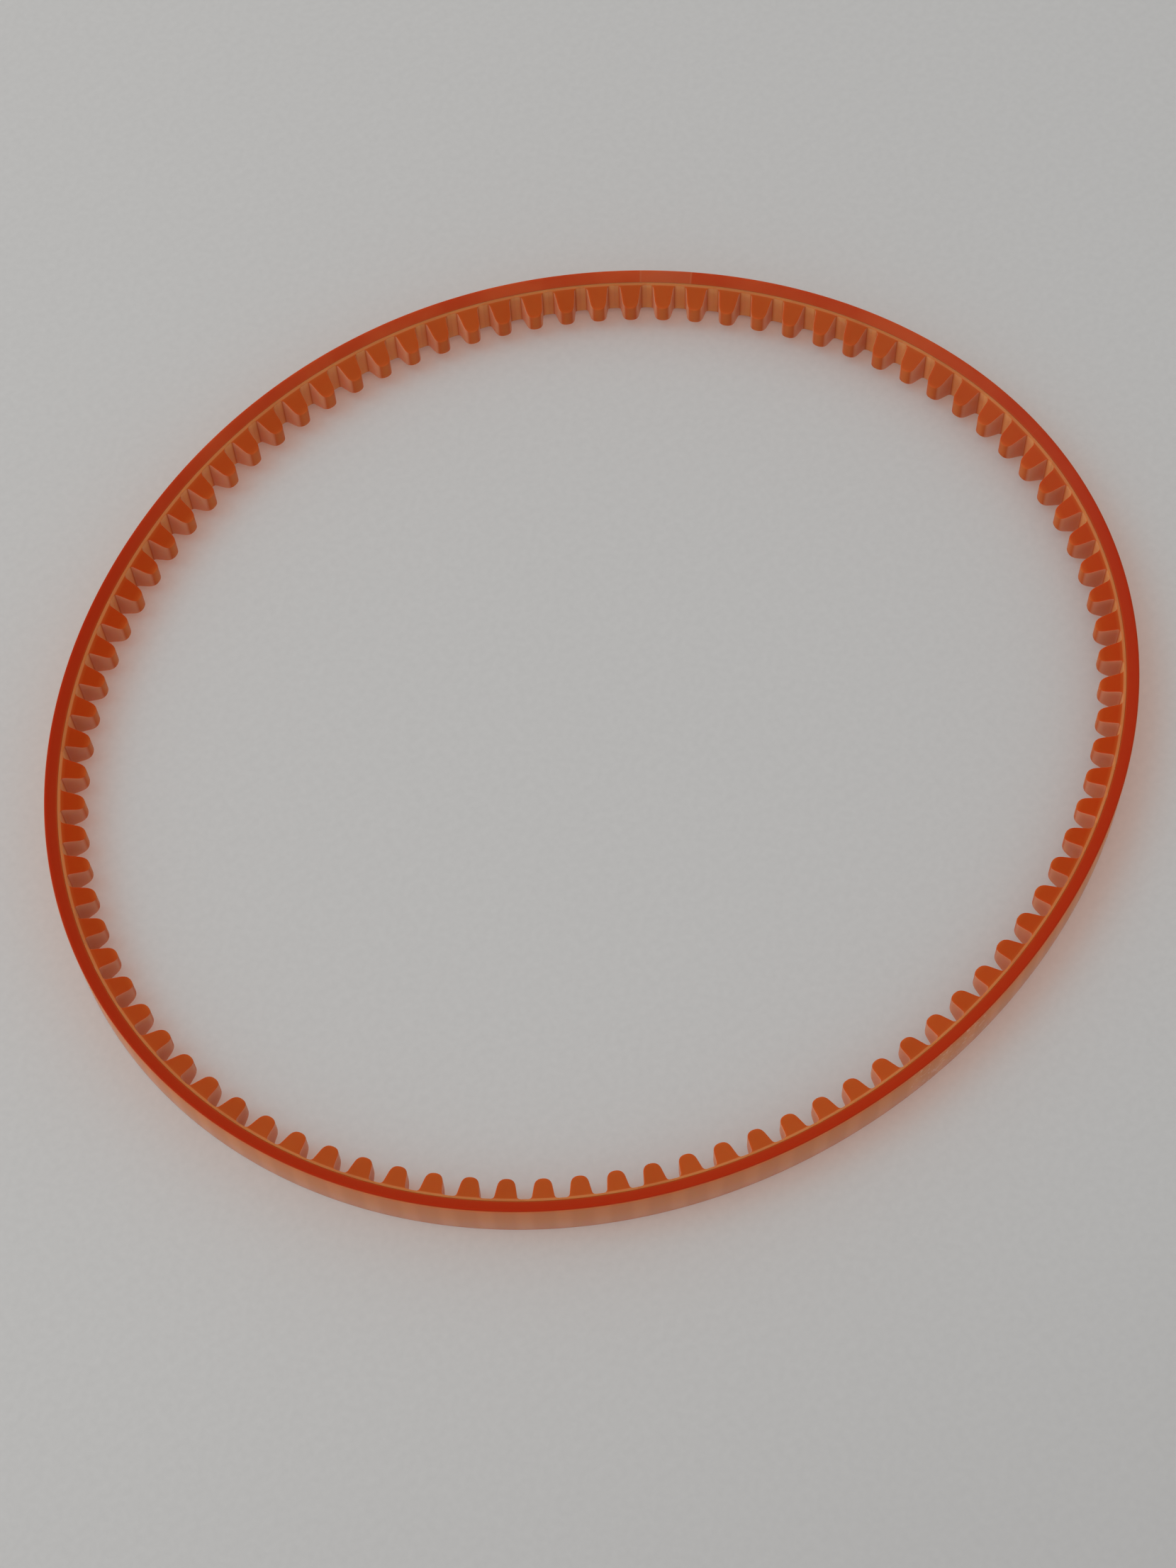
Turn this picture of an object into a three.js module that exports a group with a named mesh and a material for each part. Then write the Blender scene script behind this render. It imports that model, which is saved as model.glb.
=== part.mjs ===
// Cogged V-belt for a small motor drive, cast in polyurethane around a wound tension cord.
// The belt is moulded round. It is laid down here on the edge of its back, in the slightly
// oval loop that it relaxes into. Millimetres, +Z up, the loop's long axis along X.
//
// "Depth" is measured inward from the back, the belt's widest face, towards the lug tips.
// The belt bends about its cord, so lengths along the belt are true on the cord's line.

import * as THREE from 'three';

// ---- driving dimensions ----

// Length of the belt
const lugCount = 92;
const lugPitch = 3.175;
const lugStart = 0.32; // where the first lug stands past the +X axis, in pitches

// V section
const backWidth = 4.9;
const flankAngle = THREE.MathUtils.degToRad(24.4); // each flank's lean, from square to the back
const edgeLand = 0.15; // flat trimmed edge beside the back

// Tension cord and the layers around it
const coverThickness = 0.6; // from the back to the floor of the cord's channel
const cordDiameter = 0.4;
const cordSpacing = 0.7; // from one turn to the next
const cordClearance = 0.05;
const rimWidth = 0.35; // least width of the backing beside the cord's channel
const bondGap = 0.02; // between the backing and the lug layer

// Lug layer
const webThickness = 0.23;
const lugHeight = 2.05;
const lugRootWidth = 2.0;
const lugTipWidth = 1.4;
const lugRootFillet = 0.3;
const lugTipRounding = 0.75;

// How far the round belt relaxes out of round: a wave of so many lobes, its height, and the
// direction of its first crest
const relaxedWaves = [
  { lobes: 2, height: 2.86, direction: 0 },
  { lobes: 3, height: 0.33, direction: THREE.MathUtils.degToRad(-29.4) },
  { lobes: 4, height: 0.23, direction: THREE.MathUtils.degToRad(-6.9) },
];

// Facets
const stationsPerLug = 2;
const cornerSegments = 3;
const cordSides = 6;
const cordStepsPerTurn = 72;

// ---- worked-out dimensions ----

const cordLength = lugCount * lugPitch;
const cordRadius = cordLength / (2 * Math.PI);
const cordDepth = coverThickness + cordClearance + cordDiameter / 2;
const backRadius = cordRadius + cordDepth;
const backingThickness = coverThickness + cordDiameter + 2 * cordClearance;
const lugLayerDepth = backingThickness + bondGap;
const webDepth = backingThickness + webThickness;
const stations = lugCount * stationsPerLug;

// Half of the belt's width at a depth: full across the edge land, then narrowing along the flank.
function halfWidthAt(depth) {
  const flankRun = Math.max(0, depth - edgeLand);
  return backWidth / 2 - flankRun * Math.tan(flankAngle);
}

// As many turns of cord as fit between the rims.
const channelRoom = 2 * (halfWidthAt(backingThickness) - rimWidth);
const windingRoom = channelRoom - cordDiameter - 2 * cordClearance;
const cordTurns = Math.max(1, Math.floor(windingRoom / cordSpacing));
const windingWidth = cordTurns * cordSpacing;
const channelWidth = windingWidth + cordDiameter + 2 * cordClearance;

// ---- the line that the belt lies along ----

// The cord's line at rest, seen from above. Its length is the cord's, whatever its waves.
class CordLine extends THREE.Curve {
  constructor() {
    super();
    this.arcLengthDivisions = 2000;
    this.meanRadius = cordRadius;
    const fittingRounds = 4;
    for (let round = 0; round < fittingRounds; round++) {
      this.meanRadius += (cordLength - this.getLength()) / (2 * Math.PI);
      this.updateArcLengths();
    }
  }

  getPoint(turn, target = new THREE.Vector3()) {
    const angle = turn * 2 * Math.PI;
    let radius = this.meanRadius;
    for (const wave of relaxedWaves) {
      radius += wave.height * Math.cos(wave.lobes * (angle - wave.direction));
    }
    return target.set(radius * Math.cos(angle), radius * Math.sin(angle), 0);
  }

  getTangent(turn, target = new THREE.Vector3()) {
    const angle = turn * 2 * Math.PI;
    const { x, y } = this.getPoint(turn);
    let growth = 0;
    for (const wave of relaxedWaves) {
      growth -= wave.lobes * wave.height * Math.sin(wave.lobes * (angle - wave.direction));
    }
    target.set(growth * Math.cos(angle) - y, growth * Math.sin(angle) + x, 0);
    return target.normalize();
  }
}

const cordLine = new CordLine();

// Lays a piece that was made round, about Z, along the cord's line.
function layDown(geometry) {
  const position = geometry.getAttribute('position');
  const vertex = new THREE.Vector3();
  for (let i = 0; i < position.count; i++) {
    vertex.fromBufferAttribute(position, i);
    const turn = (Math.atan2(vertex.y, vertex.x) / (2 * Math.PI) + 1) % 1;
    const inward = cordRadius - Math.hypot(vertex.x, vertex.y);
    const onLine = cordLine.getPointAt(turn);
    const along = cordLine.getTangentAt(turn);
    position.setXY(i, onLine.x - along.y * inward, onLine.y + along.x * inward);
  }
  geometry.computeVertexNormals();
  return geometry;
}

// ---- the pieces ----

// Backing: the flat outer layer with the V flanks. A channel round its inner side holds the cord.
function makeBacking() {
  const innerHalf = halfWidthAt(backingThickness);
  const channelHalf = channelWidth / 2;
  const outerHalf = backWidth / 2;
  const section = [
    [0, -outerHalf],
    [0, outerHalf],
    [edgeLand, outerHalf],
    [backingThickness, innerHalf],
    [backingThickness, channelHalf],
    [coverThickness, channelHalf],
    [coverThickness, -channelHalf],
    [backingThickness, -channelHalf],
    [backingThickness, -innerHalf],
    [edgeLand, -outerHalf],
    [0, -outerHalf],
  ];
  const profile = section.map(([depth, height]) => new THREE.Vector2(backRadius - depth, height));
  const geometry = new THREE.LatheGeometry(profile, stations);
  geometry.rotateX(Math.PI / 2);
  return layDown(geometry);
}

// One lug's outline from root to root: x along the belt, y inward from the web.
function lugOutline() {
  const root = lugRootWidth / 2;
  const tip = lugTipWidth / 2;
  const sideAt = (height) => root + ((tip - root) * height) / lugHeight;
  const shoulder = lugHeight - lugTipRounding;
  const outline = new THREE.Path();
  outline.moveTo(-root - lugRootFillet, 0);
  outline.quadraticCurveTo(-root, 0, -sideAt(lugRootFillet), lugRootFillet);
  outline.lineTo(-sideAt(shoulder), shoulder);
  outline.quadraticCurveTo(-tip, lugHeight, 0, lugHeight);
  outline.quadraticCurveTo(tip, lugHeight, sideAt(shoulder), shoulder);
  outline.lineTo(sideAt(lugRootFillet), lugRootFillet);
  outline.quadraticCurveTo(root, 0, root + lugRootFillet, 0);
  return outline.getPoints(cornerSegments);
}

// A point of the round belt, seen from above.
function roundPoint(angle, depth) {
  const radius = backRadius - depth;
  return new THREE.Vector2(radius * Math.cos(angle), radius * Math.sin(angle));
}

// Lug layer: a thin web with all the lugs on its inner side, between the same two flanks.
function makeLugRing() {
  const outside = [];
  for (let station = 0; station < stations; station++) {
    outside.push(roundPoint((station / stations) * 2 * Math.PI, lugLayerDepth));
  }
  const inside = [];
  const oneLug = lugOutline();
  for (let lug = 0; lug < lugCount; lug++) {
    const middle = (lug + lugStart) * lugPitch;
    for (const { x, y } of oneLug) {
      inside.push(roundPoint((middle + x) / cordRadius, webDepth + y));
    }
  }
  const plan = new THREE.Shape(outside);
  plan.holes.push(new THREE.Path(inside));
  const geometry = new THREE.ExtrudeGeometry(plan, { depth: 1, bevelEnabled: false });
  const position = geometry.getAttribute('position');
  for (let i = 0; i < position.count; i++) {
    const side = position.getZ(i) > 0.5 ? 1 : -1;
    const depth = backRadius - Math.hypot(position.getX(i), position.getY(i));
    position.setZ(i, side * halfWidthAt(depth));
  }
  return layDown(geometry);
}

// Tension cord: one length wound several times round the loop, turn beside turn.
class CordWinding extends THREE.Curve {
  constructor() {
    super();
    this.arcLengthDivisions = cordTurns * 500;
  }

  getPoint(share, target = new THREE.Vector3()) {
    const turns = share * cordTurns;
    cordLine.getPointAt(turns % 1, target);
    target.z = turns * cordSpacing - windingWidth / 2;
    return target;
  }
}

function makeTensionCord() {
  const section = new THREE.Shape();
  section.absarc(0, 0, cordDiameter / 2, 0, 2 * Math.PI);
  return new THREE.ExtrudeGeometry(section, {
    extrudePath: new CordWinding(),
    steps: cordTurns * cordStepsPerTurn,
    curveSegments: cordSides / 2,
    bevelEnabled: false,
  });
}

// ---- the belt ----

function makePiece(name, geometry, colour, roughness) {
  const material = new THREE.MeshStandardMaterial({ color: colour, roughness, metalness: 0 });
  const piece = new THREE.Mesh(geometry, material);
  piece.name = name;
  return piece;
}

const belt = new THREE.Group();
belt.add(makePiece('backing_band', makeBacking(), '#b23a16', 0.3));
belt.add(makePiece('tension_cord', makeTensionCord(), '#e6d3b8', 0.8));
belt.add(makePiece('lug_ring', makeLugRing(), '#c8601f', 0.35));

// The belt rests on the edge of its back, centred over the origin.
const middle = new THREE.Box3().setFromObject(belt).getCenter(new THREE.Vector3());
belt.position.set(-middle.x, -middle.y, backWidth / 2);

export default belt;
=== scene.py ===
"""Cogged V-belt of cast translucent orange polyurethane, lying on its edge on a sheet of paper."""

import math

import bpy
import numpy as np
from mathutils import Matrix, Vector


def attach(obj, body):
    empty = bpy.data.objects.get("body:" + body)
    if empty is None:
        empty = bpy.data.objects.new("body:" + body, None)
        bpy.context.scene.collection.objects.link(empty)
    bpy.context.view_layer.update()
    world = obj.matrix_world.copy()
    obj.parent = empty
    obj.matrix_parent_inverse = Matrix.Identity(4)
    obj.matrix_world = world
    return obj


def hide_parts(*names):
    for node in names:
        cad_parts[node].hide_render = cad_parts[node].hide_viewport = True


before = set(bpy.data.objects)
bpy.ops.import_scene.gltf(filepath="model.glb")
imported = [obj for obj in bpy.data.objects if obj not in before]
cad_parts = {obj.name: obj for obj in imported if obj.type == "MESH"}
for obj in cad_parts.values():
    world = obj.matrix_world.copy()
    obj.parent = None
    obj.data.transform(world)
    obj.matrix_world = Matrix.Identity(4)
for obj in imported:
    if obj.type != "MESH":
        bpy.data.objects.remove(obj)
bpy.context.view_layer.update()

MM = 0.001

# ---- the belt's sizes, in millimetres ----

LUG_COUNT = 92
LUG_PITCH = 3.175
LUG_START = 0.32           # where the first lug stands past the +X axis, in pitches
BACK_WIDTH = 4.9
FLANK_LEAN = math.tan(math.radians(24.4))
EDGE_LAND = 0.15
COVER_THICKNESS = 0.6
CORD_DIAMETER = 0.4
CORD_SPACING = 0.7
CORD_CLEARANCE = 0.05
CORD_TURNS = 4
BOND_GAP = 0.02
WEB_THICKNESS = 0.23
LUG_HEIGHT = 2.05
LUG_ROOT_WIDTH = 2.0
LUG_TIP_WIDTH = 1.4
LUG_ROOT_FILLET = 0.3
LUG_TIP_ROUNDING = 0.75
RELAXED_WAVES = ((2, 2.86, 0.0), (3, 0.33, -29.4), (4, 0.23, -6.9))   # lobes, height, first crest

BACKING_THICKNESS = COVER_THICKNESS + CORD_DIAMETER + 2 * CORD_CLEARANCE
CORD_DEPTH = COVER_THICKNESS + CORD_CLEARANCE + CORD_DIAMETER / 2
LUG_LAYER_DEPTH = BACKING_THICKNESS + BOND_GAP
WEB_DEPTH = BACKING_THICKNESS + WEB_THICKNESS
TIP_DEPTH = WEB_DEPTH + LUG_HEIGHT
CORD_LENGTH = LUG_COUNT * LUG_PITCH
WINDING_WIDTH = CORD_TURNS * CORD_SPACING
CHANNEL_HALF = (WINDING_WIDTH + CORD_DIAMETER) / 2 + CORD_CLEARANCE

SKIN_CLEARANCE = 0.01      # how far the skin stays inside the solid's outer face
BACK_ROUNDING = 0.09       # worn corner beside the back
LUG_ROUNDING = 0.08        # soft moulded edge round a lug's end

PAINTED_LIGHT_SIDE = (0.52, 0.85, 0.0)     # towards the far side of the loop, where the flank is painted more orange as painted light; the lugs get painted light towards both ends of this line
SHADED_SIDE = (-0.19, -0.98, 0.0)  # towards the paper's darker side
PATCH_AT = 39.5            # middle of the paler stretch of flank, along the belt
PATCH_HALF = 2.5
SCUFFS_AT = 226.8          # middle of the scuffed stretch of back, along the belt
SCUFFS_HALF = 5.0

PAINTED_LIGHT_END = 0.044           # distance towards a side, in metres, at which a painted-light tint is full
BACK_TO_FLANK = (0.02, 0.06)     # depths between which the back's colour gives way to the flank's
LUG_SHADE_BEHIND = (1.3, 0.6)          # from a lug's middle: where its painted shade starts to show through the back, and fully
WEB_FACE_BLEND = 0.12            # height over which the web's edge turns into its inner face
WEB_DEPTH_BLEND = 0.08
SHADE_START = 0.03               # the paper's shading, in metres towards its darker side
SHADE_END = 0.14

CORD_PLIES = 3
CORD_LAY = 2.4             # length of one twist of the plies
PLY_SHARE = 0.86           # the hollows between plies, as a share of the cord's radius
SIDES_PER_PLY = 4
STEPS_PER_LAY = 8

WELD_DISTANCE = 1e-6       # in metres
CORD_WELD_DISTANCE = 1e-7
SHARP_ANGLE = math.radians(40)


def half_width_at(depth):
    """Half of the belt's width at a depth below its back."""
    return BACK_WIDTH / 2 - max(0.0, depth - EDGE_LAND) * FLANK_LEAN


# ---- the line that the belt lies along ----

def loop_table(samples=36000):
    """Distance along the cord's line, and the line's points, from the +X axis round to it again."""
    turn = np.linspace(0.0, 2 * math.pi, samples + 1)
    bulge = sum(h * np.cos(n * (turn - math.radians(d))) for n, h, d in RELAXED_WAVES)
    mean_radius = CORD_LENGTH / (2 * math.pi)
    for _ in range(5):
        radius = mean_radius + bulge
        points = np.stack([radius * np.cos(turn), radius * np.sin(turn)], 1)
        steps = np.linalg.norm(np.diff(points, axis=0), axis=1)
        mean_radius += (CORD_LENGTH - steps.sum()) / (2 * math.pi)
    distance = np.concatenate([[0.0], np.cumsum(steps)])
    return distance * CORD_LENGTH / distance[-1], points


LOOP_DISTANCE, LOOP_POINTS = loop_table()


def back_middle():
    """Middle of the box round the belt's back, which stands over the origin."""
    heading = np.gradient(LOOP_POINTS, axis=0)
    heading /= np.linalg.norm(heading, axis=1)[:, None]
    outward = np.stack([heading[:, 1], -heading[:, 0]], 1)
    back = LOOP_POINTS + outward * CORD_DEPTH
    return (back.min(0) + back.max(0)) / 2


LOOP_MIDDLE = back_middle()


def loop_at(distance, height):
    """The cord line's points at distances along it and heights, with the loop centred over the origin."""
    wrapped = np.mod(distance, CORD_LENGTH)
    xy = [np.interp(wrapped, LOOP_DISTANCE, LOOP_POINTS[:, k]) - LOOP_MIDDLE[k] for k in (0, 1)]
    return np.stack([*xy, np.broadcast_to(height, wrapped.shape)], 1)


def line_object(name, points, closed):
    """A poly line through points in millimetres."""
    curve = bpy.data.curves.new(name, "CURVE")
    curve.dimensions = "3D"
    spline = curve.splines.new("POLY")
    spline.points.add(len(points) - 1)
    flat = np.concatenate([np.asarray(points) * MM, np.ones((len(points), 1))], 1)
    spline.points.foreach_set("co", flat.astype(np.float32).ravel())
    spline.use_cyclic_u = closed
    line = bpy.data.objects.new(name, curve)
    bpy.context.scene.collection.objects.link(line)
    return line


def mesh_object(name, points, faces):
    """A mesh through points in millimetres."""
    mesh = bpy.data.meshes.new(name)
    mesh.from_pydata([tuple(c * MM for c in p) for p in points], [], faces)
    mesh.update()
    made = bpy.data.objects.new(name, mesh)
    bpy.context.scene.collection.objects.link(made)
    return made


# ---- node trees ----

def add_node(tree, kind, settings=None, links=None):
    """Adds a node. Settings are its properties; links are its inputs, each a value or another
    node's output. A colour ramp's "stops" are pairs of place and colour."""
    node = tree.nodes.new(kind)
    for name, value in (settings or {}).items():
        if name != "stops":
            setattr(node, name, value)
            continue
        stops = node.color_ramp.elements
        while len(stops) < len(value):
            stops.new(0.5)
        for stop, (place, colour) in zip(stops, value):
            stop.position = place
            stop.color = colour
    for name, source in (links or {}).items():
        if isinstance(source, bpy.types.NodeSocket):
            tree.links.new(source, node.inputs[name])
        else:
            node.inputs[name].default_value = source
    return node


def linear(hex_colour):
    """An sRGB hex colour as linear RGBA."""
    channels = [int(hex_colour[i:i + 2], 16) / 255 for i in (1, 3, 5)]
    return tuple(c / 12.92 if c <= 0.04045 else ((c + 0.055) / 1.055) ** 2.4 for c in channels) + (1.0,)


def new_tree(name, sockets):
    """A Geometry Nodes tree with a geometry output and named inputs."""
    tree = bpy.data.node_groups.new(name, "GeometryNodeTree")
    tree.interface.new_socket("Geometry", in_out="OUTPUT", socket_type="NodeSocketGeometry")
    tree.interface.new_socket("Geometry", in_out="INPUT", socket_type="NodeSocketGeometry")
    for label, kind in sockets:
        tree.interface.new_socket(label, in_out="INPUT", socket_type=kind)
    return tree


def grow(name, start, tree, values):
    """Runs a tree on a start object with the given input values, and keeps the result as a plain mesh."""
    modifier = start.modifiers.new(name, "NODES")
    modifier.node_group = tree
    for item in tree.interface.items_tree:
        if item.item_type == "SOCKET" and item.in_out == "INPUT" and item.name in values:
            modifier[item.identifier] = values[item.name]
    bpy.context.view_layer.update()
    graph = bpy.context.evaluated_depsgraph_get()
    mesh = bpy.data.meshes.new_from_object(start.evaluated_get(graph), depsgraph=graph)
    mesh.name = name
    grown = bpy.data.objects.new(name, mesh)
    bpy.context.scene.collection.objects.link(grown)
    start.modifiers.remove(modifier)
    bpy.data.objects.remove(start)
    return grown


def cells_along_loop_tree():
    """Repeats a one-pitch cell and bends the row of cells round the loop.
    A cell's x runs along the belt, y is the depth below the back, z the height."""
    tree = new_tree("cells_along_loop", [
        ("Loop Line", "NodeSocketObject"), ("Cells", "NodeSocketInt"), ("Pitch", "NodeSocketFloat"),
        ("Cord Depth", "NodeSocketFloat"), ("Sharp Angle", "NodeSocketFloat"),
        ("Material", "NodeSocketMaterial"),
    ])
    given = add_node(tree, "NodeGroupInput").outputs

    # Each point of the cell keeps its depth, its height and its distance from the lug's middle.
    position = add_node(tree, "GeometryNodeInputPosition").outputs[0]
    in_cell = add_node(tree, "ShaderNodeSeparateXYZ", links={0: position}).outputs
    half_pitch = add_node(tree, "ShaderNodeMath", {"operation": "MULTIPLY"},
                          {0: given["Pitch"], 1: 0.5}).outputs[0]
    past_lug = add_node(tree, "ShaderNodeMath", {"operation": "SUBTRACT"},
                        {0: in_cell["X"], 1: half_pitch}).outputs[0]
    from_lug = add_node(tree, "ShaderNodeMath", {"operation": "ABSOLUTE"}, {0: past_lug}).outputs[0]
    geometry = given["Geometry"]
    kept = (("from_lug_mm", from_lug), ("depth_mm", in_cell["Y"]), ("height_mm", in_cell["Z"]))
    for label, metres in kept:
        value = add_node(tree, "ShaderNodeMath", {"operation": "DIVIDE"}, {0: metres, 1: MM}).outputs[0]
        geometry = add_node(tree, "GeometryNodeStoreNamedAttribute",
                            {"data_type": "FLOAT", "domain": "POINT"},
                            {"Geometry": geometry, "Name": label, "Value": value}).outputs[0]

    # A straight row of cells, welded into one strip.
    offset = add_node(tree, "ShaderNodeCombineXYZ", links={"X": given["Pitch"]}).outputs[0]
    row = add_node(tree, "GeometryNodeMeshLine", {"mode": "OFFSET"},
                   {"Count": given["Cells"], "Offset": offset})
    repeated = add_node(tree, "GeometryNodeInstanceOnPoints",
                        links={"Points": row.outputs[0], "Instance": geometry})
    joined = add_node(tree, "GeometryNodeRealizeInstances", links={0: repeated.outputs[0]}).outputs[0]
    strip = add_node(tree, "GeometryNodeMergeByDistance",
                     links={"Geometry": joined, "Distance": WELD_DISTANCE}).outputs[0]
    in_strip = add_node(tree, "ShaderNodeSeparateXYZ", links={0: position}).outputs
    along = add_node(tree, "ShaderNodeMath", {"operation": "DIVIDE"}, {0: in_strip["X"], 1: MM}).outputs[0]
    strip = add_node(tree, "GeometryNodeStoreNamedAttribute", {"data_type": "FLOAT", "domain": "POINT"},
                     {"Geometry": strip, "Name": "along_mm", "Value": along}).outputs[0]

    # The strip is bent about the cord's line, and its two ends are welded.
    length = add_node(tree, "ShaderNodeMath", {"operation": "MULTIPLY"},
                      {0: given["Pitch"], 1: given["Cells"]})
    share = add_node(tree, "ShaderNodeMath", {"operation": "DIVIDE"},
                     {0: in_strip["X"], 1: length.outputs[0]})
    line = add_node(tree, "GeometryNodeObjectInfo",
                    links={"Object": given["Loop Line"]}).outputs["Geometry"]
    on_line = add_node(tree, "GeometryNodeSampleCurve", {"mode": "FACTOR"},
                       {"Curves": line, "Factor": share.outputs[0]}).outputs
    inward = add_node(tree, "ShaderNodeVectorMath", {"operation": "CROSS_PRODUCT"},
                      {0: (0, 0, 1), 1: on_line["Tangent"]}).outputs[0]
    below_cord = add_node(tree, "ShaderNodeMath", {"operation": "SUBTRACT"},
                          {0: in_strip["Y"], 1: given["Cord Depth"]})
    shift = add_node(tree, "ShaderNodeVectorMath", {"operation": "SCALE"},
                     {"Vector": inward, "Scale": below_cord.outputs[0]}).outputs[0]
    rise = add_node(tree, "ShaderNodeCombineXYZ", links={"Z": in_strip["Z"]}).outputs[0]
    level = add_node(tree, "ShaderNodeVectorMath", {"operation": "ADD"},
                     {0: on_line["Position"], 1: shift}).outputs[0]
    place = add_node(tree, "ShaderNodeVectorMath", {"operation": "ADD"}, {0: level, 1: rise}).outputs[0]
    bent = add_node(tree, "GeometryNodeSetPosition",
                    links={"Geometry": strip, "Position": place}).outputs[0]
    closed = add_node(tree, "GeometryNodeMergeByDistance",
                      links={"Geometry": bent, "Distance": WELD_DISTANCE}).outputs[0]

    smooth = add_node(tree, "GeometryNodeSetShadeSmooth", {"domain": "FACE"},
                      {"Geometry": closed}).outputs[0]
    edge_angle = add_node(tree, "GeometryNodeInputMeshEdgeAngle").outputs["Unsigned Angle"]
    sharp = add_node(tree, "ShaderNodeMath", {"operation": "GREATER_THAN"},
                     {0: edge_angle, 1: given["Sharp Angle"]})
    creased = add_node(tree, "GeometryNodeSetShadeSmooth", {"domain": "EDGE"},
                       {"Geometry": smooth, "Selection": sharp.outputs[0], "Shade Smooth": False}).outputs[0]
    whole = add_node(tree, "GeometryNodeRealizeInstances", links={0: creased}).outputs[0]
    painted = add_node(tree, "GeometryNodeSetMaterial",
                       links={"Geometry": whole, "Material": given["Material"]})
    add_node(tree, "NodeGroupOutput", links={0: painted.outputs[0]})
    return tree


def twisted_cord_tree():
    """Lays plies, twisted together, along a line: a lobed section turns as it follows the line."""
    tree = new_tree("twisted_cord", [
        ("Radius", "NodeSocketFloat"), ("Hollow Share", "NodeSocketFloat"), ("Plies", "NodeSocketInt"),
        ("Lay", "NodeSocketFloat"), ("Step", "NodeSocketFloat"), ("Material", "NodeSocketMaterial"),
    ])
    given = add_node(tree, "NodeGroupInput").outputs

    # The section: a circle that dips between the plies.
    sides = add_node(tree, "ShaderNodeMath", {"operation": "MULTIPLY"},
                     {0: given["Plies"], 1: SIDES_PER_PLY}).outputs[0]
    circle = add_node(tree, "GeometryNodeCurvePrimitiveCircle",
                      links={"Resolution": sides, "Radius": given["Radius"]}).outputs["Curve"]
    round_it = add_node(tree, "GeometryNodeSplineParameter").outputs["Factor"]
    waves = add_node(tree, "ShaderNodeMath", {"operation": "MULTIPLY"},
                     {0: round_it, 1: given["Plies"]}).outputs[0]
    wave_angle = add_node(tree, "ShaderNodeMath", {"operation": "MULTIPLY"},
                          {0: waves, 1: 2 * math.pi}).outputs[0]
    wave = add_node(tree, "ShaderNodeMath", {"operation": "COSINE"}, {0: wave_angle}).outputs[0]
    lobes = add_node(tree, "ShaderNodeMapRange", links={
        "Value": wave, "From Min": -1.0, "From Max": 1.0,
        "To Min": given["Hollow Share"], "To Max": 1.0}).outputs[0]
    position = add_node(tree, "GeometryNodeInputPosition").outputs[0]
    dipped = add_node(tree, "ShaderNodeVectorMath", {"operation": "SCALE"},
                      {"Vector": position, "Scale": lobes})
    section = add_node(tree, "GeometryNodeSetPosition",
                       links={"Geometry": circle, "Position": dipped.outputs[0]})

    # The line is stepped evenly, and tilted by one turn for each lay.
    stepped = add_node(tree, "GeometryNodeResampleCurve", {"mode": "LENGTH"},
                       {"Curve": given["Geometry"], "Length": given["Step"]}).outputs[0]
    run = add_node(tree, "GeometryNodeSplineParameter").outputs["Length"]
    lays = add_node(tree, "ShaderNodeMath", {"operation": "DIVIDE"}, {0: run, 1: given["Lay"]}).outputs[0]
    twist = add_node(tree, "ShaderNodeMath", {"operation": "MULTIPLY"},
                     {0: lays, 1: 2 * math.pi}).outputs[0]
    tilted = add_node(tree, "GeometryNodeSetCurveTilt", links={"Curve": stepped, "Tilt": twist}).outputs[0]
    skin = add_node(tree, "GeometryNodeCurveToMesh", links={
        "Curve": tilted, "Profile Curve": section.outputs[0], "Fill Caps": True}).outputs[0]
    welded = add_node(tree, "GeometryNodeMergeByDistance",
                      links={"Geometry": skin, "Distance": CORD_WELD_DISTANCE}).outputs[0]
    smooth = add_node(tree, "GeometryNodeSetShadeSmooth", {"domain": "FACE"},
                      {"Geometry": welded}).outputs[0]
    whole = add_node(tree, "GeometryNodeRealizeInstances", links={0: smooth}).outputs[0]
    painted = add_node(tree, "GeometryNodeSetMaterial",
                       links={"Geometry": whole, "Material": given["Material"]})
    add_node(tree, "NodeGroupOutput", links={0: painted.outputs[0]})
    return tree


# ---- the cells ----

def ring_faces(rows, rings):
    """Quads between neighbouring rings of points; each ring is closed."""
    return [
        (ring * rows + row, (ring + 1) * rows + row,
         (ring + 1) * rows + (row + 1) % rows, ring * rows + (row + 1) % rows)
        for ring in range(rings - 1) for row in range(rows)
    ]


def backing_section(flank_steps=4):
    """The backing's closed outline across the belt, as (depth, height)."""
    half = BACK_WIDTH / 2
    top = []
    for angle in (math.pi / 2, math.pi / 3, math.pi / 6, 0):
        depth = SKIN_CLEARANCE + BACK_ROUNDING * (1 - math.sin(angle))
        top.append((depth, half - BACK_ROUNDING * (1 - math.cos(angle))))
    for depth in np.linspace(EDGE_LAND, BACKING_THICKNESS, flank_steps + 1):
        top.append((depth, half_width_at(depth)))
    top += [(BACKING_THICKNESS, CHANNEL_HALF), (COVER_THICKNESS, CHANNEL_HALF)]
    bottom = [(depth, -height) for depth, height in reversed(top)]
    channel_floor = [(COVER_THICKNESS, CHANNEL_HALF * share) for share in (0.33, -0.33)]
    flat = half - BACK_ROUNDING
    back = [(SKIN_CLEARANCE, flat * share) for share in (-0.75, -0.45, -0.15, 0.15, 0.45, 0.75)]
    return top + channel_floor + bottom + back


def backing_cell(columns=8):
    """One pitch of the backing: the flat outer layer with the V flanks, and the cord's channel."""
    section = backing_section()
    points = [
        (LUG_PITCH * column / columns, depth, height)
        for column in range(columns + 1) for depth, height in section
    ]
    return mesh_object("backing_cell", points, ring_faces(len(section), columns + 1))


def bend(start, corner, end, steps):
    """Points of a curve that leaves its start towards a corner and comes into its end from there."""
    share = np.linspace(0, 1, steps + 1)[:, None]
    a, b, c = (np.array(p, float) for p in (start, corner, end))
    return (1 - share) ** 2 * a + 2 * share * (1 - share) * b + share ** 2 * c


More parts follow.
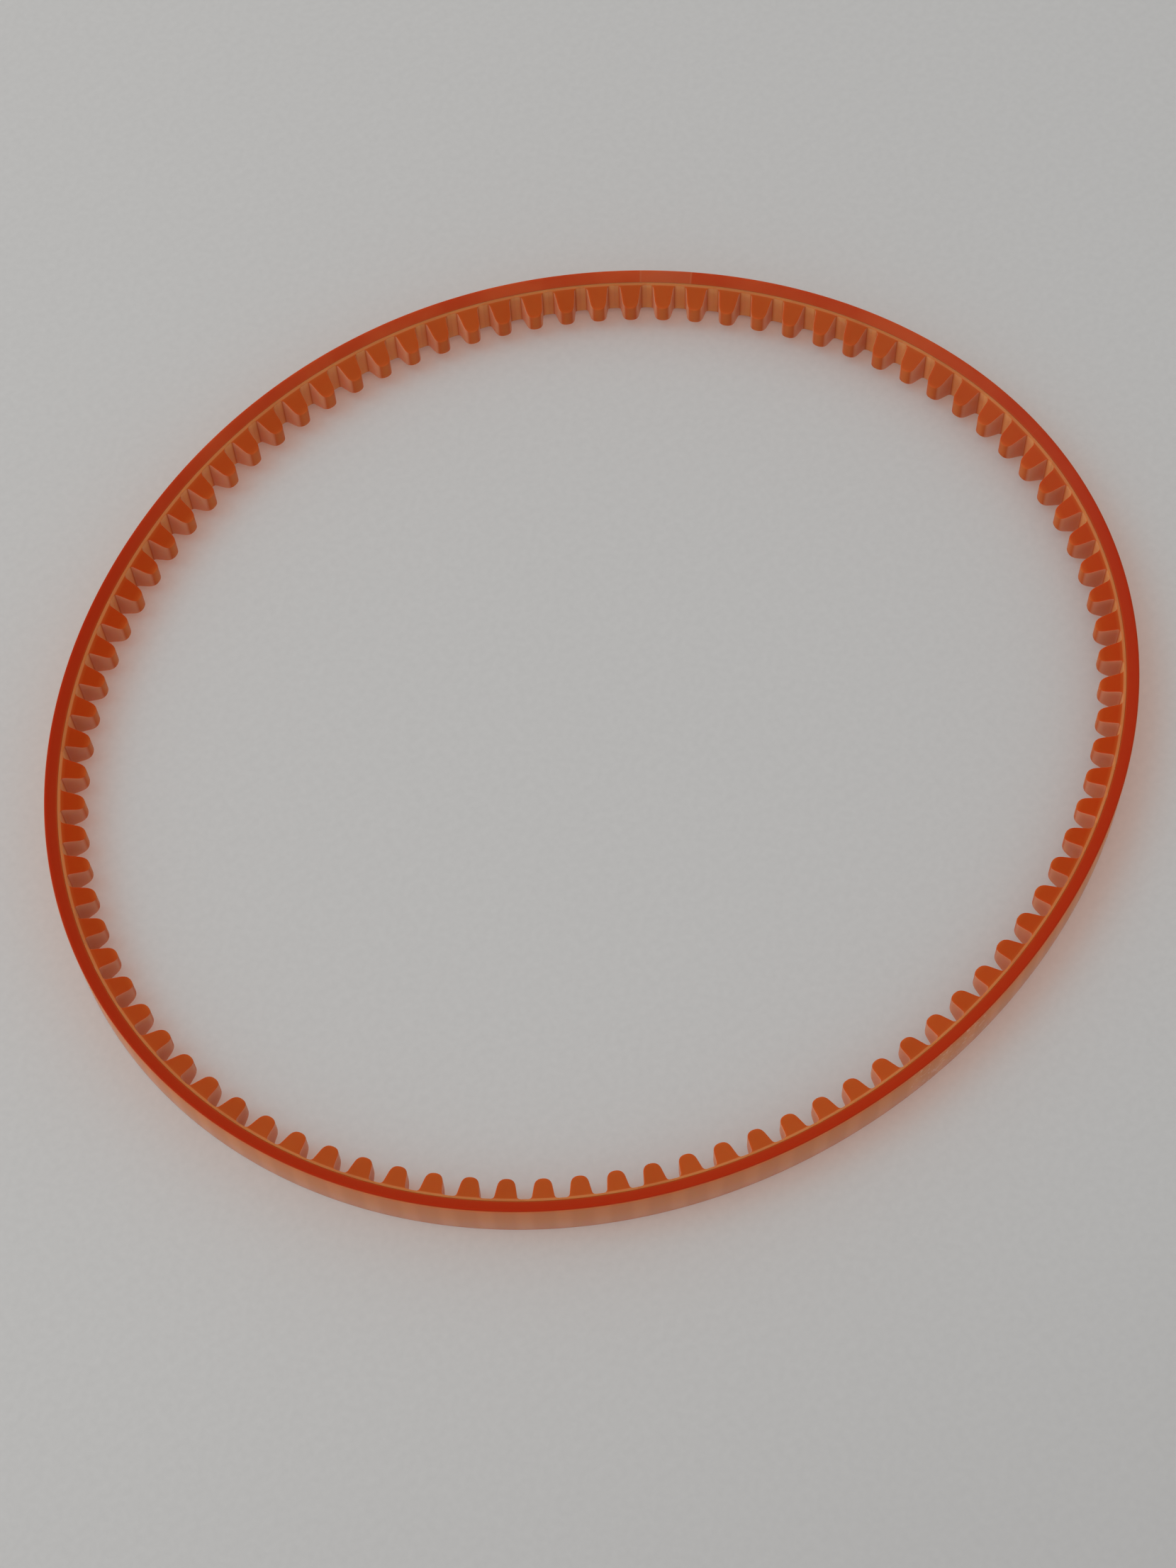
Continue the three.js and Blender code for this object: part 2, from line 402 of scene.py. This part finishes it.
def lug_outline():
    """One pitch of the lug layer's inner side: points (along, depth) and the normals there."""
    root = LUG_ROOT_WIDTH / 2
    tip = LUG_TIP_WIDTH / 2

    def side_at(height):
        return root + (tip - root) * height / LUG_HEIGHT

    shoulder = LUG_HEIGHT - LUG_TIP_ROUNDING
    foot = (-root - LUG_ROOT_FILLET, 0)
    fillet_end = (-side_at(LUG_ROOT_FILLET), LUG_ROOT_FILLET)
    rounding_start = (-side_at(shoulder), shoulder)
    half = LUG_PITCH / 2
    left = np.concatenate([
        np.linspace((-half, 0), foot, 3)[:-1],
        bend(foot, (-root, 0), fillet_end, 4)[:-1],
        np.linspace(fillet_end, rounding_start, 4)[:-1],
        bend(rounding_start, (-tip, LUG_HEIGHT), (0, LUG_HEIGHT), 6),
    ])
    outline = np.concatenate([left, left[-2::-1] * (-1, 1)])
    heading = np.gradient(outline, axis=0)
    heading[0] = heading[-1] = (1, 0)
    heading /= np.linalg.norm(heading, axis=1)[:, None]
    normals = np.stack([-heading[:, 1], heading[:, 0]], 1)
    return outline + (half, WEB_DEPTH), normals


def lug_cell(flank_steps=3, rounding_steps=3, face_steps=4):
    """One pitch of the lug layer, with a soft edge round the ends of the web and the lug.
    Its points know how squarely they face along the belt, which a lug's two side walls do."""
    outline, normals = lug_outline()
    points = []
    side_wall = []
    for (x, depth), (nx, nd) in zip(outline, normals):
        rounding = min(LUG_ROUNDING, 0.6 * (depth - LUG_LAYER_DEPTH))
        inset_x = x - nx * rounding
        inset_depth = depth - nd * rounding
        end_height = half_width_at(inset_depth)
        ring = [(inset_x, d, half_width_at(d))
                for d in np.linspace(LUG_LAYER_DEPTH, inset_depth, flank_steps + 1)[:-1]]
        sides = [0.0] * flank_steps
        for angle in np.linspace(0, math.pi / 2, rounding_steps + 1):
            out = rounding * math.sin(angle)
            height = end_height - rounding * (1 - math.cos(angle))
            ring.append((inset_x + nx * out, inset_depth + nd * out, height))
            sides.append(abs(nx) * math.sin(angle))
        face_height = end_height - rounding
        face = [(x, depth, face_height * (1 - 2 * k / face_steps)) for k in range(1, face_steps)]
        mirrored = [(px, pd, -ph) for px, pd, ph in reversed(ring)]
        points += ring + face + mirrored + [(inset_x, LUG_LAYER_DEPTH, 0.0)]
        side_wall += sides + [abs(nx)] * len(face) + sides[::-1] + [0.0]
    cell = mesh_object("lug_cell", points, ring_faces(len(points) // len(outline), len(outline)))
    cell.data.attributes.new("side_wall", "FLOAT", "POINT").data.foreach_set("value", side_wall)
    return cell


# ---- materials ----

def start_material(name):
    """An empty material and its tree."""
    material = bpy.data.materials.new(name)
    material.use_nodes = True
    material.node_tree.nodes.clear()
    return material, material.node_tree


LIGHT_PASSED = (0.99, 0.86, 0.79, 1.0)     # what each face lets through of the light that falls on it


def finish_urethane(tree, colour, place):
    """Cast polyurethane: a satin skin with a fine moulded grain, over a body that light wanders
    through a little way, and a share of lamp light that crosses it and tints the shadow."""
    grain = add_node(tree, "ShaderNodeTexNoise",
                     links={"Vector": place, "Scale": 2500.0, "Detail": 2.0}).outputs[0]
    skin = add_node(tree, "ShaderNodeBump",
                    links={"Height": grain, "Strength": 0.2, "Distance": 0.00001}).outputs[0]
    shader = add_node(tree, "ShaderNodeBsdfPrincipled", {"subsurface_method": "RANDOM_WALK"}, {
        "Base Color": colour, "Roughness": 0.4, "IOR": 1.5, "Specular IOR Level": 0.06,
        "Subsurface Weight": 0.8,
        "Subsurface Radius": (1.0, 0.4, 0.15), "Subsurface Scale": 0.0005, "Normal": skin})
    passed = add_node(tree, "ShaderNodeBsdfTransparent", links={"Color": LIGHT_PASSED})
    lamp_ray = add_node(tree, "ShaderNodeLightPath").outputs["Is Shadow Ray"]
    both = add_node(tree, "ShaderNodeMixShader",
                    links={0: lamp_ray, 1: shader.outputs[0], 2: passed.outputs[0]})
    add_node(tree, "ShaderNodeOutputMaterial", links={"Surface": both.outputs[0]})


def backing_material():
    """Cast polyurethane, translucent orange: deep red where the sight line runs along the wall, and
    a pale pinkish tan across it, with painted shade where a lug stands behind."""
    material, tree = start_material("cast_polyurethane_backing")
    place = add_node(tree, "ShaderNodeTexCoord").outputs["Object"]
    depth, height, from_lug, along = (
        add_node(tree, "ShaderNodeAttribute", {"attribute_name": name}).outputs["Fac"]
        for name in ("depth_mm", "height_mm", "from_lug_mm", "along_mm"))

    # The back: redder at its lower edge, more orange towards the upper one.
    up_back = add_node(tree, "ShaderNodeMapRange", links={
        "Value": height, "From Min": -BACK_WIDTH / 2, "From Max": BACK_WIDTH / 2}).outputs[0]
    back = add_node(tree, "ShaderNodeValToRGB", {"stops": [
        (0.0, linear("#c86840")), (0.05, linear("#e4a488")),
        (0.5, linear("#e4946a")), (1.0, linear("#e08450")),
    ]}, {"Fac": up_back}).outputs[0]
    # Painted shade: the back is painted darker where a lug stands behind it.
    lug_shade_behind = add_node(tree, "ShaderNodeMapRange", {"interpolation_type": "SMOOTHSTEP"}, {
        "Value": from_lug, "From Min": LUG_SHADE_BEHIND[0], "From Max": LUG_SHADE_BEHIND[1], "To Max": 0.14}).outputs[0]
    back = add_node(tree, "ShaderNodeMix", {"data_type": "RGBA"}, {
        0: lug_shade_behind, 6: back, 7: linear("#a85428")}).outputs[2]

    # One short stretch of the back is scuffed with fine pale marks.
    from_scuffs = add_node(tree, "ShaderNodeMath", {"operation": "COMPARE"},
                           {0: along, 1: SCUFFS_AT, 2: SCUFFS_HALF})
    scratch = add_node(tree, "ShaderNodeTexNoise", links={
        "Vector": place, "Scale": 1300.0, "Detail": 2.0, "Distortion": 1.5}).outputs[0]
    scratched = add_node(tree, "ShaderNodeMapRange", {"interpolation_type": "SMOOTHSTEP"}, {
        "Value": scratch, "From Min": 0.56, "From Max": 0.7, "To Max": 0.35}).outputs[0]
    scuffed = add_node(tree, "ShaderNodeMath", {"operation": "MULTIPLY"},
                       {0: from_scuffs.outputs[0], 1: scratched})
    back = add_node(tree, "ShaderNodeMix", {"data_type": "RGBA"}, {
        0: scuffed.outputs[0], 6: back, 7: linear("#f4d8c8")}).outputs[2]

    # The flank: a pale worn corner, a dark line under it, then red, with cloudy orange patches of painted
    # light on the far side of the loop.
    in_flank = add_node(tree, "ShaderNodeMapRange", links={
        "Value": depth, "From Min": 0.0, "From Max": BACKING_THICKNESS}).outputs[0]
    flank = add_node(tree, "ShaderNodeValToRGB", {"stops": [
        (0.02, linear("#c46040")), (0.08, linear("#ac3212")), (0.16, linear("#bd330f")),
        (0.85, linear("#bf3711")), (1.0, linear("#c4501e")),
    ]}, {"Fac": in_flank}).outputs[0]
    cloud = add_node(tree, "ShaderNodeTexNoise",
                     links={"Vector": place, "Scale": 130.0, "Detail": 4.0}).outputs[0]
    cloudy = add_node(tree, "ShaderNodeMapRange", {"interpolation_type": "SMOOTHSTEP"}, {
        "Value": cloud, "From Min": 0.3, "From Max": 0.75, "To Min": 0.5, "To Max": 1.3}).outputs[0]
    # Painted light: the flank turns more orange towards the far side of the loop.
    across = add_node(tree, "ShaderNodeVectorMath", {"operation": "DOT_PRODUCT"}, {0: place, 1: PAINTED_LIGHT_SIDE})
    painted_light = add_node(tree, "ShaderNodeMapRange", {"interpolation_type": "SMOOTHSTEP"}, {
        "Value": across.outputs["Value"], "From Min": 0.01, "From Max": PAINTED_LIGHT_END}).outputs[0]
    orange = add_node(tree, "ShaderNodeMath", {"operation": "MULTIPLY"}, {0: painted_light, 1: cloudy})
    flank = add_node(tree, "ShaderNodeMix", {"data_type": "RGBA"}, {
        0: orange.outputs[0], 6: flank, 7: linear("#cc562a")}).outputs[2]

    # A paler mark on the flank ends in fine lines across the belt.
    from_patch = add_node(tree, "ShaderNodeMath", {"operation": "SUBTRACT"},
                          {0: along, 1: PATCH_AT}).outputs[0]
    off_middle = add_node(tree, "ShaderNodeMath", {"operation": "ABSOLUTE"}, {0: from_patch}).outputs[0]
    share = add_node(tree, "ShaderNodeMath", {"operation": "DIVIDE"},
                     {0: off_middle, 1: PATCH_HALF}).outputs[0]
    patch = add_node(tree, "ShaderNodeValToRGB", {"stops": [
        (0.0, (0.5, 0.5, 0.5, 1)), (0.9, (0.35, 0.35, 0.35, 1)),
        (0.95, (0.9, 0.9, 0.9, 1)), (1.0, (0, 0, 0, 1)),
    ]}, {"Fac": share}).outputs[0]
    flank = add_node(tree, "ShaderNodeMix", {"data_type": "RGBA"}, {
        0: patch, 6: flank, 7: linear("#cc7048")}).outputs[2]

    on_flank = add_node(tree, "ShaderNodeMapRange", {"interpolation_type": "SMOOTHSTEP"}, {
        "Value": depth, "From Min": BACK_TO_FLANK[0], "From Max": BACK_TO_FLANK[1]}).outputs[0]
    colour = add_node(tree, "ShaderNodeMix", {"data_type": "RGBA"},
                      {0: on_flank, 6: back, 7: flank}).outputs[2]
    finish_urethane(tree, colour, place)
    return material


def lug_material():
    """Cast polyurethane, translucent orange: tan at the web, reddest through a lug's middle, paler at
    its tip, and a pinkish tan on the side walls, where the sight line crosses only the lug. The thin
    web's tan and its paler inner face are partly its own colour, partly painted light crossing it."""
    material, tree = start_material("cast_polyurethane_lugs")
    place = add_node(tree, "ShaderNodeTexCoord").outputs["Object"]
    depth, height, side_wall, along = (
        add_node(tree, "ShaderNodeAttribute", {"attribute_name": name}).outputs["Fac"]
        for name in ("depth_mm", "height_mm", "side_wall", "along_mm"))
    up_lug = add_node(tree, "ShaderNodeMapRange", links={
        "Value": depth, "From Min": LUG_LAYER_DEPTH, "From Max": TIP_DEPTH}).outputs[0]
    body = add_node(tree, "ShaderNodeValToRGB", {"stops": [
        (0.09, linear("#da864e")), (0.12, linear("#cc561c")), (0.25, linear("#c6420a")),
        (0.75, linear("#c6460c")), (0.9, linear("#cc541a")), (1.0, linear("#d46e34")),
    ]}, {"Fac": up_lug}).outputs[0]
    # Painted light: lugs towards the far and near ends of the loop are painted lighter and browner.
    browner = add_node(tree, "ShaderNodeMix", {"data_type": "RGBA", "blend_type": "LIGHTEN"}, {
        0: 1.0, 6: body, 7: linear("#ca6026")}).outputs[2]
    across = add_node(tree, "ShaderNodeVectorMath", {"operation": "DOT_PRODUCT"}, {0: place, 1: PAINTED_LIGHT_SIDE})
    from_middle = add_node(tree, "ShaderNodeMath", {"operation": "ABSOLUTE"},
                           {0: across.outputs["Value"]}).outputs[0]
    painted_light = add_node(tree, "ShaderNodeMapRange", {"interpolation_type": "SMOOTHSTEP"}, {
        "Value": from_middle, "From Min": 0.008, "From Max": PAINTED_LIGHT_END, "To Max": 0.85}).outputs[0]
    body = add_node(tree, "ShaderNodeMix", {"data_type": "RGBA"},
                    {0: painted_light, 6: body, 7: browner}).outputs[2]

    # The web's inner face, between the lugs, is thin and pale: partly its own colour, partly painted light
    # that crosses the thin web.
    off_middle = add_node(tree, "ShaderNodeMath", {"operation": "ABSOLUTE"}, {0: height}).outputs[0]
    on_face = add_node(tree, "ShaderNodeMapRange", links={
        "Value": off_middle, "From Min": half_width_at(WEB_DEPTH),
        "From Max": half_width_at(WEB_DEPTH) - WEB_FACE_BLEND})
    on_web = add_node(tree, "ShaderNodeMapRange", links={
        "Value": depth, "From Min": WEB_DEPTH + WEB_DEPTH_BLEND, "From Max": WEB_DEPTH}).outputs[0]
    web_face = add_node(tree, "ShaderNodeMath", {"operation": "MULTIPLY"},
                        {0: on_face.outputs[0], 1: on_web})
    body = add_node(tree, "ShaderNodeMix", {"data_type": "RGBA"}, {
        0: web_face.outputs[0], 6: body, 7: linear("#f4a468")}).outputs[2]
    wall = add_node(tree, "ShaderNodeMapRange", {"interpolation_type": "SMOOTHSTEP"}, {
        "Value": side_wall, "From Min": 0.55, "From Max": 0.9, "To Max": 0.85}).outputs[0]
    colour = add_node(tree, "ShaderNodeMix", {"data_type": "RGBA"}, {
        0: wall, 6: body, 7: linear("#e49a76")}).outputs[2]

    # Each lug came out a little different, and the urethane is cloudy inside.
    lugs_passed = add_node(tree, "ShaderNodeMath", {"operation": "DIVIDE"},
                           {0: along, 1: LUG_PITCH}).outputs[0]
    lug_number = add_node(tree, "ShaderNodeMath", {"operation": "FLOOR"}, {0: lugs_passed}).outputs[0]
    lug_tone = add_node(tree, "ShaderNodeTexWhiteNoise", {"noise_dimensions": "1D"},
                        {"W": lug_number}).outputs[0]
    cloud = add_node(tree, "ShaderNodeTexNoise",
                     links={"Vector": place, "Scale": 400.0, "Detail": 3.0}).outputs[0]
    both = add_node(tree, "ShaderNodeMath", {"operation": "MULTIPLY"}, {0: lug_tone, 1: cloud}).outputs[0]
    darker = add_node(tree, "ShaderNodeMapRange", links={
        "Value": both, "From Min": 0.1, "From Max": 0.6, "To Max": 0.2}).outputs[0]
    colour = add_node(tree, "ShaderNodeMix", {"data_type": "RGBA"}, {
        0: darker, 6: colour, 7: linear("#a83c0c")}).outputs[2]
    finish_urethane(tree, colour, place)
    return material


def cord_material():
    """Twisted polyester yarn: off-white, with fine filament lines; the urethane has wetted it, so
    lamp light crosses it too."""
    material, tree = start_material("polyester_cord")
    place = add_node(tree, "ShaderNodeTexCoord").outputs["Object"]
    fibre = add_node(tree, "ShaderNodeTexNoise",
                     links={"Vector": place, "Scale": 9000.0, "Detail": 3.0}).outputs[0]
    colour = add_node(tree, "ShaderNodeValToRGB", {"stops": [
        (0.3, linear("#cdb897")), (0.7, linear("#efe3cc"))]}, {"Fac": fibre}).outputs[0]
    ridges = add_node(tree, "ShaderNodeBump",
                      links={"Height": fibre, "Strength": 0.4, "Distance": 0.00002}).outputs[0]
    shader = add_node(tree, "ShaderNodeBsdfPrincipled", links={
        "Base Color": colour, "Roughness": 0.75, "Normal": ridges})
    passed = add_node(tree, "ShaderNodeBsdfTransparent", links={"Color": (1.0, 1.0, 1.0, 1.0)})
    lamp_ray = add_node(tree, "ShaderNodeLightPath").outputs["Is Shadow Ray"]
    both = add_node(tree, "ShaderNodeMixShader",
                    links={0: lamp_ray, 1: shader.outputs[0], 2: passed.outputs[0]})
    add_node(tree, "ShaderNodeOutputMaterial", links={"Surface": both.outputs[0]})
    return material


def paper_material():
    """Plain matt paper, faintly mottled, and a little greyer on its shaded side."""
    material, tree = start_material("plain_paper")
    place = add_node(tree, "ShaderNodeTexCoord").outputs["Object"]
    mottle = add_node(tree, "ShaderNodeTexNoise",
                      links={"Vector": place, "Scale": 1500.0, "Detail": 3.0}).outputs[0]
    colour = add_node(tree, "ShaderNodeValToRGB", {"stops": [
        (0.3, linear("#d6d6d6")), (0.7, linear("#dadada"))]}, {"Fac": mottle}).outputs[0]
    across = add_node(tree, "ShaderNodeVectorMath", {"operation": "DOT_PRODUCT"},
                      {0: place, 1: SHADED_SIDE})
    shade = add_node(tree, "ShaderNodeMapRange", {"interpolation_type": "SMOOTHSTEP"}, {
        "Value": across.outputs["Value"], "From Min": SHADE_START, "From Max": SHADE_END,
        "To Max": 0.5}).outputs[0]
    colour = add_node(tree, "ShaderNodeMix", {"data_type": "RGBA"}, {
        0: shade, 6: colour, 7: linear("#b6b4b4")}).outputs[2]
    shader = add_node(tree, "ShaderNodeBsdfPrincipled", links={"Base Color": colour, "Roughness": 0.9})
    add_node(tree, "ShaderNodeOutputMaterial", links={"Surface": shader.outputs[0]})
    return material


# ---- the pieces ----

SAMPLES_PER_LUG = 16
cell_start = (LUG_START - 0.5) * LUG_PITCH
loop_distances = cell_start + np.arange(LUG_COUNT * SAMPLES_PER_LUG) * LUG_PITCH / SAMPLES_PER_LUG
loop_line = line_object("loop_line", loop_at(loop_distances, BACK_WIDTH / 2), True)
cells_tree = cells_along_loop_tree()
common = {"Loop Line": loop_line, "Cells": LUG_COUNT, "Pitch": LUG_PITCH * MM,
          "Cord Depth": CORD_DEPTH * MM, "Sharp Angle": SHARP_ANGLE}
backing = grow("belt_backing", backing_cell(), cells_tree, {**common, "Material": backing_material()})
lugs = grow("belt_lugs", lug_cell(), cells_tree, {**common, "Material": lug_material()})
bpy.data.objects.remove(loop_line)

winding_share = np.linspace(0, 1, CORD_TURNS * LUG_COUNT * 4 + 1)
winding_height = BACK_WIDTH / 2 + (winding_share - 0.5) * WINDING_WIDTH
winding = line_object("winding", loop_at(winding_share * CORD_TURNS * CORD_LENGTH, winding_height), False)
cord = grow("belt_cord", winding, twisted_cord_tree(), {
    "Radius": CORD_DIAMETER / 2 * MM, "Hollow Share": PLY_SHARE, "Plies": CORD_PLIES, "Lay": CORD_LAY * MM,
    "Step": CORD_LAY * MM / STEPS_PER_LAY, "Material": cord_material()})

for piece, node, slot in (
    (backing, "backing_band", "backing_urethane"),
    (lugs, "lug_ring", "lug_urethane"),
    (cord, "tension_cord", "cord_polyester"),
):
    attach(piece, "root")
    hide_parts(node)

# ---- floor, light and camera ----

SHEET_HALF = 1500
sheet_corners = [(x * SHEET_HALF, y * SHEET_HALF, 0) for x, y in ((-1, -1), (1, -1), (1, 1), (-1, 1))]
floor = mesh_object("paper_sheet", sheet_corners, [(0, 1, 2, 3)])
floor.data.materials.append(paper_material())

AZIMUTH = math.radians(-31.30)
ELEVATION = math.radians(64.97)
ROLL = math.radians(-3.58)
DISTANCE = 0.2784          # in metres, as the target and the lights are
TARGET = Vector((-0.00332, -0.00452, 0.0))
right = Vector((math.cos(AZIMUTH), math.sin(AZIMUTH), 0))
ahead = Vector((-math.sin(AZIMUTH), math.cos(AZIMUTH), 0))
towards_camera = Vector((0, 0, math.sin(ELEVATION))) - ahead * math.cos(ELEVATION)

world = bpy.data.worlds.new("soft_room")
world.use_nodes = True
world.node_tree.nodes["Background"].inputs["Color"].default_value = linear("#f6f7f8")
world.node_tree.nodes["Background"].inputs["Strength"].default_value = 0.453
bpy.context.scene.world = world

lamp = bpy.data.lights.new("window", "AREA")
lamp.shape = "DISK"
lamp.size = 0.6
lamp.energy = 2.45
lamp.color = linear("#fffaf2")[:3]
window = bpy.data.objects.new("window", lamp)
window.location = -0.48 * right + 0.04 * ahead + Vector((0, 0, 0.7))
window.rotation_euler = (-window.location).to_track_quat("-Z", "Y").to_euler()
bpy.context.scene.collection.objects.link(window)

camera_data = bpy.data.cameras.new("camera")
camera_data.sensor_width = 36
camera_data.lens = 71.56
camera_data.clip_start = 0.01
camera = bpy.data.objects.new("camera", camera_data)
bpy.context.scene.collection.objects.link(camera)
up = towards_camera.cross(right)
turned_right = right * math.cos(ROLL) + up * math.sin(ROLL)
turned_up = up * math.cos(ROLL) - right * math.sin(ROLL)
pose = Matrix((turned_right, turned_up, towards_camera)).transposed().to_4x4()
pose.translation = TARGET + towards_camera * DISTANCE
camera.matrix_world = pose
bpy.context.scene.camera = camera

bpy.context.scene.view_settings.view_transform = "Standard"
